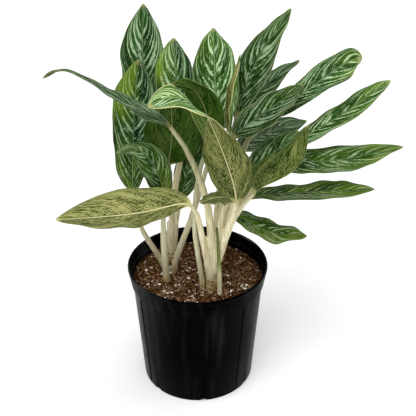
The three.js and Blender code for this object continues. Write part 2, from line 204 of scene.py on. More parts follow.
def stamp(piece, tool, place, operation):
    """Joins a placed copy of a tool to a piece, or cuts it out."""
    copy = bpy.data.objects.new(tool.name, tool.data.copy())
    bpy.context.scene.collection.objects.link(copy)
    copy.data.transform(place)
    apply_modifier(piece, "BOOLEAN", operation=operation, object=copy, solver="EXACT")
    bpy.data.objects.remove(copy)


# A disc for the foot is drawn up and widened from point to point of the profile, then closed.
bpy.ops.object.select_all(action="DESELECT")
first_radius, first_height = POT_PROFILE[0]
bpy.ops.mesh.primitive_circle_add(
    vertices=POT_SIDES, radius=first_radius / 1000, location=(0, 0, first_height / 1000),
    fill_type="NGON",
)
pot = bpy.context.object
pot.name = "nursery_pot"
bpy.ops.object.transform_apply(location=True, rotation=True, scale=True)
edit(pot, "SELECT")
bpy.ops.mesh.flip_normals()
bpy.ops.mesh.select_mode(type="EDGE")
bpy.ops.mesh.select_all(action="DESELECT")
bpy.ops.mesh.select_non_manifold()
for (radius, height), (next_radius, next_height) in zip(POT_PROFILE, POT_PROFILE[1:]):
    climb = (next_height - height) / 1000
    bpy.ops.mesh.extrude_edges_move(TRANSFORM_OT_translate={"value": (0, 0, climb)})
    widening = next_radius / radius
    bpy.ops.transform.resize(value=(widening, widening, 1), center_override=(0, 0, 0))
bpy.ops.mesh.edge_face_add()
bpy.ops.mesh.select_all(action="SELECT")
bpy.ops.mesh.normals_make_consistent(inside=False)
bpy.ops.object.mode_set(mode="OBJECT")

# One bevelled bar is joined to the leaning wall as each rib, and one flattened drum cuts the drain
# notch beside it.
bpy.ops.mesh.primitive_cube_add(size=1, location=(0, 0, 0))
rib = bpy.context.object
rib.scale = RIB_SIZE
bpy.ops.object.transform_apply(location=True, rotation=True, scale=True)
edit(rib, "SELECT")
bpy.ops.mesh.bevel(offset=RIB_ROUNDING, segments=2)
bpy.ops.object.mode_set(mode="OBJECT")
bpy.ops.mesh.primitive_cylinder_add(
    vertices=NOTCH_SIDES, radius=NOTCH_RADIUS, depth=NOTCH_DEPTH, rotation=(0, math.pi / 2, 0)
)
notch = bpy.context.object
bpy.ops.object.transform_apply(location=True, rotation=True, scale=True)
for i in range(RIB_COUNT):
    angle = FIRST_RIB - i * 2 * math.pi / RIB_COUNT
    against_wall = Matrix.Rotation(angle, 4, "Z") @ Matrix.Translation(RIB_PLACE)
    stamp(pot, rib, against_wall @ Matrix.Rotation(WALL_LEAN, 4, "Y"), "UNION")
    at_foot = Matrix.Rotation(angle + NOTCH_TURN, 4, "Z") @ Matrix.Translation(NOTCH_PLACE)
    stamp(pot, notch, at_foot @ Matrix.Scale(NOTCH_FLATNESS, 4, (0, 0, 1)), "DIFFERENCE")
bpy.data.objects.remove(rib)
bpy.data.objects.remove(notch)
pick(pot)
bpy.ops.object.shade_smooth_by_angle(angle=SHARP_ANGLE)

# A pebble of 1.1 mm breaks up the shine, and flow marks of 45 mm cloud it. Upright drags of grey
# dust, 20 mm wide and 300 mm long, show mostly on the left side, where a painted sheen lifts them.
satin_plastic, tree, shader = start_material(
    "moulded_black_polypropylene", Roughness=0.3, IOR=1.49, Specular_IOR_Level=0.015
)
spot = add(tree, "TexCoord").outputs["Object"]
pebble = add(tree, "TexNoise", {"Vector": spot, "Scale": 1000 / 1.1, "Detail": 2.0})
flow_marks = add(tree, "TexNoise", {"Vector": spot, "Scale": 1000 / 45, "Detail": 3.0})
sheen = add(tree, "MapRange", {
    "Value": flow_marks.outputs["Fac"], "From Min": 0.3, "From Max": 0.7,
    "To Min": 0.24, "To Max": 0.36,
})
tree.links.new(sheen.outputs["Result"], shader.inputs["Roughness"])
drag_space = add(tree, "Mapping", {"Vector": spot, "Scale": (1000 / 20, 1000 / 20, 1000 / 300)})
drag = add(tree, "TexNoise", {
    "Vector": drag_space.outputs["Vector"], "Scale": 1.0, "Detail": 4.0,
})
# Towards the left the tone is raised by up to 0.24, a painted sheen added to the dust drags.
left = add(tree, "SeparateXYZ", {"Vector": spot}).outputs["X"]
painted_sheen_left = add(tree, "MapRange", {
    "Value": left, "From Min": -0.045, "From Max": -0.1, "To Max": 0.24,
})
dust_and_sheen = add(tree, "Math", {
    0: drag.outputs["Fac"], 1: painted_sheen_left.outputs["Result"],
}, operation="ADD")
dust_and_sheen_tone = add(tree, "ValToRGB", {"Fac": dust_and_sheen.outputs["Value"]}, stops=[
    (0.54, "#000000"), (0.72, "#101211"), (0.95, "#2a2d2b"),
])
tree.links.new(dust_and_sheen_tone.outputs["Color"], shader.inputs["Base Color"])
skin = add(tree, "Bump", {
    "Height": pebble.outputs["Fac"], "Strength": 0.25, "Distance": 0.0002,
})
tree.links.new(skin.outputs["Normal"], shader.inputs["Normal"])
pot.data.materials.append(satin_plastic)
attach(pot, "root")
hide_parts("pot")
# The strip would leave a grey glare on the leaves, so it shines on the pot alone.
lit_by_strip = bpy.data.collections.new("lit_by_left_strip")
lit_by_strip.objects.link(pot)
strip.light_linking.receiver_collection = lit_by_strip

# ---- Potting soil -------------------------------------------------------------------------------
# Dark moist peat with bark, filled to a finger's width below the lip. Only its crumbly top shows,
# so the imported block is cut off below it, remeshed and roughened at three sizes of crumb.
SOIL_CUT = 0.196  # height of the cut
SOIL_TOP = 0.214  # height of the level surface
SOIL_SPACING = 0.0016  # between the points of its skin
CLOD, CRUMB, GRIT = (0.0030, 0.014), (0.0040, 0.006), (0.0026, 0.003)  # height and size
CRUMB_SINK = 0.0012
CRUMB_EDGE = 0.1205  # radius of the wall, where the crumbs end
CRUMB_DEPTH = 0.006  # below the top, where they end as well
CRUMB_FADE = 0.004
MERGE_DISTANCE = 1e-6


def copy_of(node, name):
    """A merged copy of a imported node's loose triangles, as a new piece."""
    piece = bpy.data.objects.new(name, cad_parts[node].data.copy())
    bpy.context.scene.collection.objects.link(piece)
    piece.data.materials.clear()
    edit(piece, "SELECT")
    bpy.ops.mesh.remove_doubles(threshold=MERGE_DISTANCE)
    bpy.ops.object.mode_set(mode="OBJECT")
    return piece


def remesh(piece, spacing):
    """Fuses a piece into one even skin."""
    piece.data.remesh_voxel_size = spacing
    pick(piece)
    bpy.ops.object.voxel_remesh()


def points_of(piece):
    """The piece's vertices as rows of x, y, z."""
    place = np.empty(len(piece.data.vertices) * 3)
    piece.data.vertices.foreach_get("co", place)
    return place.reshape(-1, 3)


def normals_of(piece):
    """The piece's smooth normals, one for each vertex."""
    out = np.empty(len(piece.data.vertices) * 3)
    piece.data.vertices.foreach_get("normal", out)
    return out.reshape(-1, 3)


def move_points(piece, place):
    """Puts the piece's vertices at these rows of x, y, z."""
    piece.data.vertices.foreach_set("co", np.ascontiguousarray(place).ravel())
    piece.data.update()


def shade_smooth(piece):
    """Shades every face of the piece smooth."""
    piece.data.polygons.foreach_set("use_smooth", [True] * len(piece.data.polygons))


def rise(distance, width, least=0):
    """Climbs with the distance, from the least value up to 1 at this width."""
    return np.clip(distance / width, least, 1)


def crumb_height(point):
    """How far the crumbs lift the soil at a point."""
    spot = Vector(point)
    clods = CLOD[0] * noise.noise(spot / CLOD[1])
    crumbs = CRUMB[0] * noise.noise(spot / CRUMB[1])
    grit = GRIT[0] * abs(noise.noise(spot / GRIT[1]))
    return clods + crumbs + grit - CRUMB_SINK


soil = copy_of("soil", "potting_soil")
edit(soil, "SELECT")
bpy.ops.mesh.bisect(
    plane_co=(0, 0, SOIL_CUT), plane_no=(0, 0, 1), use_fill=True, clear_inner=True
)
bpy.ops.object.mode_set(mode="OBJECT")
soil.data.use_remesh_preserve_volume = True
remesh(soil, SOIL_SPACING)
place = points_of(soil)
rough = np.array([crumb_height(point) for point in place])
inside_wall = rise(CRUMB_EDGE - np.hypot(place[:, 0], place[:, 1]), CRUMB_FADE)
top_only = rise(place[:, 2] - SOIL_TOP + CRUMB_DEPTH, CRUMB_FADE)
move_points(soil, place + normals_of(soil) * (rough * inside_wall * top_only)[:, None])
shade_smooth(soil)

# Nearly black crumbs of 3.5 mm under tan fibres, dark and dry in patches, so that it looks moist
# and loose. It hardly shines.
peat, tree, shader = start_material(
    "moist_peat_mix", Roughness=0.93, IOR=1.35, Specular_IOR_Level=0.06
)
spot = add(tree, "TexCoord").outputs["Object"]
crumb = add(tree, "TexVoronoi", {"Vector": spot, "Scale": 1000 / 3.5})
fibre = add(tree, "TexNoise", {
    "Vector": spot, "Scale": 1000 / 2.2, "Detail": 6.0, "Roughness": 0.7,
})
patch = add(tree, "TexNoise", {"Vector": spot, "Scale": 1000 / 30, "Detail": 2.0})
dark_peat = add(tree, "ValToRGB", {"Fac": fibre.outputs["Fac"]}, stops=[
    (0.40, "#080200"), (0.5, "#341c0a"), (0.59, "#6d4b2c"), (0.67, "#c4a47c"),
])
dry_peat = add(tree, "ValToRGB", {"Fac": crumb.outputs["Color"]}, stops=[
    (0.2, "#080200"), (0.55, "#3a200c"), (0.78, "#7a5733"), (0.93, "#cfb088"),
])
peat_mix = add(tree, "Mix", {
    0: patch.outputs["Fac"], 6: dark_peat.outputs["Color"], 7: dry_peat.outputs["Color"],
}, data_type="RGBA")
tree.links.new(peat_mix.outputs[2], shader.inputs["Base Color"])
crumbs = add(tree, "Bump", {
    "Height": fibre.outputs["Fac"], "Strength": 0.9, "Distance": 0.0012,
})
tree.links.new(crumbs.outputs["Normal"], shader.inputs["Normal"])
soil.data.materials.append(peat)
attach(soil, "root")
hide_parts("soil")

# ---- Perlite and bark ---------------------------------------------------------------------------
# White puffs of perlite, 1 to 5 mm across, and chips of bark lie loose on the peat. Each is one
# lumpy stone or splinter, turned and scaled, and pressed a third of its height into the soil.
ABOVE_SOIL = 0.3  # where the search for the ground starts
STREWN_RADIUS = 0.114
DRIFT_SIZE = 0.022  # of the patches in which the grains gather
LEFTWARD = 1.5  # how much thicker they lie at the left and the front
SMALL_ONES = 2.2  # the power that makes most of them small
GRAIN_HEIGHT = (0.6, 0.9)  # of its width
FULL_TURN = 6.3  # radians
GRAIN_TILT = 0.5  # radians
GRAIN_SEAT = 0.3  # its middle over the ground, in half widths


def ground_under(x, y):
    """Height of the soil's surface below a point."""
    hit, spot, _, _ = soil.ray_cast(Vector((x, y, ABOVE_SOIL)), Vector((0, 0, -1)))
    return spot.z if hit else SOIL_TOP


def scatter(name, finish, count, seed, sizes, stretch, dents, bare):
    """Strews one kind of grain over the soil and joins the copies to one piece.

    The sizes are half widths. A higher bare leaves more of the ground without grains.
    """
    chance = random.Random(seed)
    bpy.ops.mesh.primitive_ico_sphere_add(subdivisions=1, radius=1)
    model = bpy.context.object
    whole = bmesh.new()
    for _ in range(count):
        reach = STREWN_RADIUS * math.sqrt(chance.random())
        angle = chance.uniform(0, 2 * math.pi)
        x, y = reach * math.cos(angle), reach * math.sin(angle)
        size = sizes[0] + (sizes[1] - sizes[0]) * chance.random() ** SMALL_ONES
        drift = noise.noise(Vector((x, y, seed)) / DRIFT_SIZE)
        if drift < bare - LEFTWARD * (-x - 0.5 * y):
            continue
        grain = model.data.copy()
        for vertex in grain.vertices:
            vertex.co *= 1 + dents * (chance.random() - 0.5)
        length, height = size * chance.uniform(*stretch), size * chance.uniform(*GRAIN_HEIGHT)
        turn = Matrix.Rotation(chance.uniform(0, FULL_TURN), 4, "Z")
        spin = turn @ Matrix.Rotation(chance.uniform(-GRAIN_TILT, GRAIN_TILT), 4, "Y")
        seat = Matrix.Translation((x, y, ground_under(x, y) + GRAIN_SEAT * size))
        grain.transform(seat @ spin @ Matrix.Diagonal((length, size, height, 1)))
        whole.from_mesh(grain)
        bpy.data.meshes.remove(grain)
    bpy.data.objects.remove(model)
    mesh = bpy.data.meshes.new(name)
    whole.to_mesh(mesh)
    whole.free()
    piece = bpy.data.objects.new(name, mesh)
    bpy.context.scene.collection.objects.link(piece)
    mesh.materials.append(finish)
    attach(piece, "root")


# Chalky warm white with darker pores, the brightest specks on the soil.
perlite, tree, shader = start_material("expanded_perlite", Roughness=0.85, IOR=1.5)
spot = add(tree, "TexCoord").outputs["Object"]
pores = add(tree, "TexNoise", {"Vector": spot, "Scale": 1000 / 1.2, "Detail": 3.0})
white = add(tree, "ValToRGB", {"Fac": pores.outputs["Fac"]}, stops=[
    (0.3, "#ab9a83"), (0.6, "#f6f0e6"),
])
tree.links.new(white.outputs["Color"], shader.inputs["Base Color"])
pits = add(tree, "Bump", {
    "Height": pores.outputs["Fac"], "Strength": 0.5, "Distance": 0.0005,
})
tree.links.new(pits.outputs["Normal"], shader.inputs["Normal"])
scatter(
    "perlite_grains", perlite, count=610, seed=11, sizes=(0.0004, 0.0026), stretch=(0.8, 1.7),
    dents=0.9, bare=-0.03,
)

# Dull brown splinters, mottled from nearly black to tan, that make the soil look coarse.
bark, tree, shader = start_material("bark_chips", Roughness=0.8)
spot = add(tree, "TexCoord").outputs["Object"]
mottle = add(tree, "TexNoise", {"Vector": spot, "Scale": 1000 / 4, "Detail": 5.0})
brown = add(tree, "ValToRGB", {"Fac": mottle.outputs["Fac"]}, stops=[
    (0.3, "#22140c"), (0.7, "#9a7552"),
])
tree.links.new(brown.outputs["Color"], shader.inputs["Base Color"])
scatter(
    "bark_chips", bark, count=420, seed=23, sizes=(0.0008, 0.0028), stretch=(1.2, 3.4),
    dents=0.6, bare=-1.0,
)

# ---- Canes and leaf stalks ----------------------------------------------------------------------
# Smooth fleshy stems, ivory where the sheaths wrap each other and greener towards the blades. The
# packed bars are fused by a fine remesh and smoothed, and old leaf scars ring the canes' feet.
STEMS = {  # node: middle and radius of its cane where it has one, and how green its stalk is
    "left_stems": ((-0.050, 0.046, 0.0088), 0.0),
    "right_stems": ((0.025, -0.042, 0.0095), 0.0),
    "far_left_stalk": (None, 0.1),
    "near_left_stalk": (None, 0.45),
    "middle_left_stalk": (None, 0.2),
    "middle_stalk": (None, 0.35),
}
STEM_SPACING = 0.0017
STEM_SWELL = 0.00035  # gives back what the smoothing takes
STAIN_TOP = 0.238  # a stalk's foot is stained up to here
STAIN_FADE = 0.018
STAIN_SHARE = 0.75
CANE_MARGIN = 0.006  # how far round its middle line a cane is ringed, past its radius
CANE_FADE = 0.004
RINGS_TOP = 0.262  # the canes carry scars up to here
RINGS_FADE = 0.03
RING_STEP = 0.0085
RING_WIDTH = 0.13  # in steps
RING_HEIGHT = 0.0009
BROWN_BETWEEN = 0.62  # how brown a cane is between two scars
GREEN_RISE = 0.05  # above the soil, over which a stalk takes on its green
GREEN_AT_SOIL = 0.2


def store(piece, name, field):
    """Keeps a number or a vector for each vertex as an attribute of the piece."""
    kind, key = ("FLOAT", "value") if field.ndim == 1 else ("FLOAT_VECTOR", "vector")
    piece.data.attributes.new(name, kind, "POINT").data.foreach_set(key, field.ravel())


# Waxy ivory with tan fibres along the stalk, which make it look fleshy and a little ridged. The
# scars and the feet are blotched with brown, and some stalks have a veil of grey green.
stem_skin, tree, shader = start_material(
    "sheathing_leaf_stalk", Roughness=0.42, IOR=1.4, Subsurface_Weight=0.08,
    Subsurface_Scale=0.004,
)
shader.inputs["Subsurface Radius"].default_value = (1.0, 0.8, 0.4)
spot = add(tree, "TexCoord").outputs["Object"]
height = add(tree, "SeparateXYZ", {"Vector": spot}).outputs["Z"]
climb = add(tree, "MapRange", {"Value": height, "From Min": 0.22, "From Max": 0.46})
ivory = add(tree, "ValToRGB", {"Fac": climb.outputs["Result"]}, stops=[
    (0.0, "#bfb48e"), (0.25, "#d8d0b0"), (0.5, "#e4ddb9"), (0.78, "#cfc9a2"), (1.0, "#a9a880"),
])
fibre_space = add(tree, "Mapping", {
    "Vector": spot, "Scale": (1000 / 3.5, 1000 / 3.5, 1000 / 90),
})
fibres = add(tree, "TexNoise", {
    "Vector": fibre_space.outputs["Vector"], "Scale": 1.0, "Detail": 3.0,
})
fibre_tone = add(tree, "ValToRGB", {"Fac": fibres.outputs["Fac"]}, stops=[
    (0.34, "#a1945f"), (0.58, "#ffffff"),
])
streaked = add(tree, "Mix", {
    0: 0.55, 6: ivory.outputs["Color"], 7: fibre_tone.outputs["Color"],
}, data_type="RGBA", blend_type="MULTIPLY")
scar = add(tree, "Attribute", attribute_name="scar")
blotch = add(tree, "TexNoise", {"Vector": spot, "Scale": 1000 / 6, "Detail": 4.0})
scar_edge = add(tree, "Math", {
    0: scar.outputs["Fac"], 1: blotch.outputs["Fac"],
}, operation="MULTIPLY")
scar_mask = add(tree, "MapRange", {
    "Value": scar_edge.outputs["Value"], "From Min": 0.22, "From Max": 0.5,
})
scarred = add(tree, "Mix", {
    0: scar_mask.outputs["Result"], 6: streaked.outputs[2], 7: linear("#846131"),
}, data_type="RGBA")
green = add(tree, "Attribute", attribute_name="greenness")
greened = add(tree, "Mix", {
    0: green.outputs["Fac"], 6: scarred.outputs[2], 7: linear("#9da586"),
}, data_type="RGBA")
tree.links.new(greened.outputs[2], shader.inputs["Base Color"])
grooves = add(tree, "Bump", {
    "Height": fibres.outputs["Fac"], "Strength": 0.35, "Distance": 0.0006,
})
tree.links.new(grooves.outputs["Normal"], shader.inputs["Normal"])

for node, (cane, greenness) in STEMS.items():
    stem = copy_of(node, node.replace("stems", "shoot").replace("stalk", "petiole"))
    remesh(stem, STEM_SPACING)
    apply_modifier(stem, "SMOOTH", factor=0.5, iterations=7)
    place = points_of(stem)
    swell = np.full(len(place), STEM_SWELL)
    scars = STAIN_SHARE * rise(STAIN_TOP - place[:, 2], STAIN_FADE)
    if cane:
        cane_x, cane_y, cane_radius = cane
        away = np.hypot(place[:, 0] - cane_x, place[:, 1] - cane_y)
        near = rise(cane_radius + CANE_MARGIN - away, CANE_FADE)
        low = rise(RINGS_TOP - place[:, 2], RINGS_FADE)
        ring_phase = (place[:, 2] - SOIL_TOP) / RING_STEP
        ring_bump = np.exp(-(((ring_phase % 1) - 0.5) / RING_WIDTH) ** 2)
        swell += RING_HEIGHT * ring_bump * near * low
        brown = BROWN_BETWEEN + (1 - BROWN_BETWEEN) * ring_bump
        scars = np.maximum(scars, brown * near * low)
    move_points(stem, place + normals_of(stem) * swell[:, None])
    store(stem, "scar", scars)
    greens = greenness * rise(place[:, 2] - SOIL_TOP, GREEN_RISE, least=GREEN_AT_SOIL)
    store(stem, "greenness", greens)
    shade_smooth(stem)
    stem.data.materials.append(stem_skin)
    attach(stem, "root")
    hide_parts(node)

# ---- Spear --------------------------------------------------------------------------------------
# The newest leaf, still rolled into a green spike on its cream stalk. One margin laps round the
# outside, which leaves a slanting seam from tip to stalk.
SPEAR_AXIS = ([0.216, 0.289, 0.358], [0.040, 0.038, 0.034], [-0.062, -0.066, -0.072])  # z, x, y
SPEAR_SPACING = 0.0007
SEAM_SLANT = 26  # radians round the spear for each metre up
SEAM_WIDTH = 0.35  # radians
SEAM_FOOT = 0.25  # height at which it starts
SEAM_FADE = 0.02
LAP_HEIGHT = 0.0012
SEAM_DEPTH = 0.0007

spear = copy_of("spear", "rolled_leaf")
remesh(spear, SPEAR_SPACING)
apply_modifier(spear, "SMOOTH", factor=0.5, iterations=6)
place = points_of(spear)
axis_z, axis_x, axis_y = SPEAR_AXIS
from_axis_x = place[:, 0] - np.interp(place[:, 2], axis_z, axis_x)
from_axis_y = place[:, 1] - np.interp(place[:, 2], axis_z, axis_y)
turn = np.arctan2(from_axis_y, from_axis_x) + SEAM_SLANT * (place[:, 2] - SOIL_TOP)
seam = np.exp(-((np.mod(turn + math.pi, 2 * math.pi) - math.pi) / SEAM_WIDTH) ** 2)
lap = LAP_HEIGHT - SEAM_DEPTH * seam * rise(place[:, 2] - SEAM_FOOT, SEAM_FADE)
move_points(spear, place + normals_of(spear) * lap[:, None])
shade_smooth(spear)

# Cream at the foot, then olive and deep green towards the tip. The change runs up single fibres.
rolled_skin, tree, shader = start_material("rolled_young_leaf", Roughness=0.4, IOR=1.4)
spot = add(tree, "TexCoord").outputs["Object"]
height = add(tree, "SeparateXYZ", {"Vector": spot}).outputs["Z"]
fibre_space = add(tree, "Mapping", {
    "Vector": spot, "Scale": (1000 / 2, 1000 / 2, 1000 / 50),
})
fibres = add(tree, "TexNoise", {
    "Vector": fibre_space.outputs["Vector"], "Scale": 1.0, "Detail": 2.0,
})
ragged_height = add(tree, "Math", {
    0: fibres.outputs["Fac"], 1: 0.05, 2: height,
}, operation="MULTIPLY_ADD")
climb = add(tree, "MapRange", {
    "Value": ragged_height.outputs["Value"], "From Min": 0.245, "From Max": 0.385,
})
green = add(tree, "ValToRGB", {"Fac": climb.outputs["Result"]}, stops=[
    (0.0, "#cdc6a0"), (0.32, "#bdb98e"), (0.48, "#66742f"), (1.0, "#34440f"),
])
tree.links.new(green.outputs["Color"], shader.inputs["Base Color"])
spear.data.materials.append(rolled_skin)
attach(spear, "root")
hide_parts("spear")

# ---- Leaf blades --------------------------------------------------------------------------------
# Soft waxy blades, dark green above with silver feathering along the side veins, olive and flecked
# below, with a pale midrib. Each is its packed sheet, cleared to a grid and smoothed. Moving its
# points then gives it the groove of the midrib, the low quilting of the veins and a wavy margin.
COLUMNS = 7
LAST_ROW = 11
NECK_RADIUS = 0.0035
VEIN_STEP = 0.0175  # from one side vein to the next, along the midrib
HALF_SHIFT = 0.37  # of a step, by which the veins of the two halves differ
LEAST_SWEEP = 0.018  # how far a side vein sweeps towards the tip,
SWEEP_BY_WIDTH = 0.75  # and how much further on a wide blade
VEIN_CURVE = 0.92  # the nearer to 1, the more it bends at the margin
QUILT_HEIGHT = 0.00042
GROOVE_DEPTH = 0.0007
GROOVE_WIDTH = 0.0016
WAVE_HEIGHT = 0.0042  # of the margin, up and down
WOBBLE = 0.0045  # of the margin, in and out
HALF_LANE = 31.7  # keeps the marks on the two halves of a blade unlike,
LEAF_LANE = 1.7  # and those on different leaves
MARGIN_BAND = (0.86, 1.0)  # shares of the way out over which the marks fade by half
RIB_BAND = (0.0006, 0.003)  # distances from the midrib over which they come up
EDGE_LINE = (0.94, 0.98)  # shares of the way out over which the pale line comes up
RIB_AT_TIP = 0.0004  # half the width of the midrib there
PATCH_SIZE = (30, 24)  # mm, of the patches where the marks are wide or narrow
LIME_PATCH_SIZE = (60, 28)  # mm

# The way the upper side looks at mid-blade, how lime the upper side is, how deep a green the under
# side is, partly painted light through a shaded blade, how grey both are, partly a painted sheen,
# and their brightness, partly painted light and shade.
LEAVES = {
    "upper_left_leaf": ((-0.15, -1, 0.3), 0.1, 0.2, 0.0, 0.8),
    "left_upright_leaf": ((-0.1, -1, 0.2), 1.6, 0.2, 0.0, 0.62),
    "long_left_leaf": ((0.2, 0.16, 0.95), 0.1, 0.1, 0.32, 0.75),
    "arching_left_leaf": ((-0.2, -0.6, 0.8), 0.3, 0.3, 0.0, 0.76),
    "shaded_left_leaf": ((0.1, 1, 0.3), 0.5, 1.0, 0.0, 0.56),
    "low_left_leaf": ((0, 0.9, -0.3), 0.1, 0.0, 0.05, 1.32),
    "centre_left_leaf": ((-0.6, -1, 0.3), 1.3, 0.2, 0.0, 0.88),
    "hidden_back_leaf": ((0, -1, 0.4), 0.3, 0.5, 0.0, 0.68),
    "centre_leaf": ((0, -1, 0.3), 0.15, 0.2, 0.0, 1.1),
    "curling_front_leaf": ((0.2, 0.28, 0.95), 0.4, 0.8, 0.0, 1.22),
    "dark_centre_leaf": ((0.3, 1, 0.3), 0.5, 1.0, 0.0, 0.75),
    "upper_right_leaf": ((-0.5, -1, 0.3), 0.15, 0.2, 0.0, 0.69),
    "folded_centre_leaf": ((0.9, 0.4, -0.1), 0.5, 0.0, 0.0, 1.3),
    "back_right_leaf": ((-0.3, -1, 0.6), 0.1, 0.2, 0.1, 0.85),
    "long_right_leaf": ((-0.3, -0.7, 0.7), 0.1, 0.2, 0.05, 1.0),
    "inner_right_leaf": ((-0.3, -0.8, 0.6), 0.2, 0.2, 0.0, 0.53),
    "grey_right_leaf": ((0, -0.6, 0.8), 0.0, 0.2, 0.5, 0.75),
    "outer_right_leaf": ((-0.2, -0.5, 0.8), 0.35, 0.2, 0.0, 1.12),
    "level_right_leaf": ((0, -0.4, 0.9), 0.4, 0.2, 0.0, 0.7),
    "low_right_leaf": ((0, -0.1, 1), 0.8, 0.2, 0.0, 0.57),
    "drooping_right_leaf": ((0.3, -0.4, 0.85), 0.7, 0.2, 0.0, 0.61),
    "front_leaf": ((0.1, 1, 0.3), 0.3, 0.1, 0.0, 0.88),
    "front_right_leaf": ((-0.6, 0.5, 0.55), 0.3, 0.5, 0.0, 0.8),
    "inner_front_leaf": ((-0.4, -0.7, 0.6), 0.3, 0.3, 0.05, 0.85),
    "small_front_leaf": ((0, 0.3, -0.9), 0.2, 0.2, 0.1, 1.0),
}
PALE_EDGES = {  # how clearly a light line runs round the blade
    "curling_front_leaf": 1.0, "inner_right_leaf": 0.6, "folded_centre_leaf": 0.6,
    "upper_right_leaf": 0.35,
}
FAINT_EDGE = 0.1  # on all the others
LIME_SIDES = {"left_upright_leaf": -1, "centre_left_leaf": -1}  # the half that is lime, -1 or 1
LIME_TIPS = {
    "long_right_leaf": 0.4, "outer_right_leaf": 0.2, "level_right_leaf": 0.6,
    "low_right_leaf": 0.7, "drooping_right_leaf": 0.4, "inner_right_leaf": 0.2,
    "upper_right_leaf": 0.4, "centre_leaf": 0.2,
}
LIME_FEET = {"arching_left_leaf": 0.9, "left_upright_leaf": 0.7, "centre_left_leaf": 0.5}
TIP_START = 0.66  # shares of the way from neck to tip
FOOT_END = 0.45
MOST_LIME = 1.4


def read_grid(net, looks):
    """Finds row, column and side of each vertex of a merged blade, from the two at its tip."""
    def near(vertex):
        """The vertices that share an edge with this one."""
        return [edge.other_vert(vertex) for edge in vertex.link_edges]

    def middle(vertices):
        """The mean place of some vertices."""
        return sum((v.co for v in vertices), Vector()) / len(vertices)

    # Rows of vertices, counted from the tip back to the neck.
    rows = [set(sorted(net.verts, key=lambda v: len(v.link_edges))[-2:])]
    seen = set(rows[0])
    while len(seen) < len(net.verts):
        rows.append({n for v in rows[-1] for n in near(v)} - seen)
        seen |= rows[-1]
    rows.reverse()
    # Each row is a loop round the blade, and its two shortest steps that face each other are
    # the margins, where it is parted in an upper and an under half.
    sheets = [None] * (LAST_ROW + 1)
    around = 2 * COLUMNS
    for k in range(1, LAST_ROW):
        loop = [min(rows[k], key=lambda v: v.index)]
        while len(loop) < around:
            loop.append(next(n for n in near(loop[-1]) if n in rows[k] and n not in loop[-2:]))
        gaps = [(loop[i].co - loop[(i + 1) % around].co).length for i in range(around)]
        start = min(range(COLUMNS), key=lambda i: gaps[i] + gaps[i + COLUMNS])
        loop = loop[start + 1:] + loop[:start + 1]
        sheets[k] = (loop[:COLUMNS], loop[:COLUMNS - 1:-1])
    rib_column = COLUMNS // 2
    spine = [middle(rows[0])]
    spine += [middle((a[rib_column], b[rib_column])) for a, b in sheets[1:LAST_ROW]]
    spine += [middle(rows[LAST_ROW])]

    def side_of(k):
        """The way across the blade from its first column to its last."""
        a, b = sheets[k]
        return (a[-1].co + b[-1].co - a[0].co - b[0].co).normalized()

    def ahead(k):
        """The way along the spine."""
        return (spine[k + 1] - spine[k - 1]).normalized()

    def reverse_columns(k):
        """Lets the columns of a row run the other way."""
        sheets[k] = tuple(half[::-1] for half in sheets[k])

    # From mid-blade outwards, all columns are made to run one way and the upper half comes first.
    half_way = LAST_ROW // 2
    if side_of(half_way).cross(ahead(half_way)).dot(Vector(looks)) < 0:
        reverse_columns(half_way)
    for k in range(half_way + 1, LAST_ROW):
        if side_of(k).dot(side_of(k - 1)) < 0:
            reverse_columns(k)
    for k in range(half_way - 1, 0, -1):
        if side_of(k).dot(side_of(k + 1)) < 0:
            reverse_columns(k)
    for k in range(1, LAST_ROW):
        up = side_of(k).cross(ahead(k))
        a, b = sheets[k]
        if sum((p.co - q.co).dot(up) for p, q in zip(a, b)) < 0:
            sheets[k] = (b, a)

    # The round neck is parted in halves that meet those of the first row.
    right = side_of(1)
    up = right.cross((spine[1] - spine[0]).normalized())

    def clock(vertex):
        """How far round the neck a vertex stands."""
        out = vertex.co - spine[0]
        return math.atan2(out.dot(up), out.dot(right))

    ring = sorted(rows[0], key=clock)
    outer, inner = sheets[1]
    target = outer[::-1] + inner

    def match(turn):
        """How well the neck's ring fits the first row when it starts at this vertex."""
        pairs = list(zip(ring[turn:] + ring[:turn], target))
        joined = sum(w in near(v) for v, w in pairs)
        return joined, sum((v.co - spine[0]).dot(w.co - spine[1]) for v, w in pairs)

    turn = max(range(len(ring)), key=match)
    ring = ring[turn:] + ring[:turn]
    sheets[0] = (ring[:COLUMNS][::-1], ring[COLUMNS:])
    tip_up = side_of(LAST_ROW - 1).cross(ahead(LAST_ROW - 1))
    tips = sorted(rows[LAST_ROW], key=lambda v: -v.co.dot(tip_up))
    sheets[LAST_ROW] = ([tips[0]], [tips[1]])
    return sheets, spine


def values(piece, name, size=1):
    """One attribute of a piece's vertices."""
    out = np.empty(len(piece.data.vertices) * size)
    piece.data.attributes[name].data.foreach_get("value" if size == 1 else "vector", out)
    return out if size == 1 else out.reshape(-1, size)


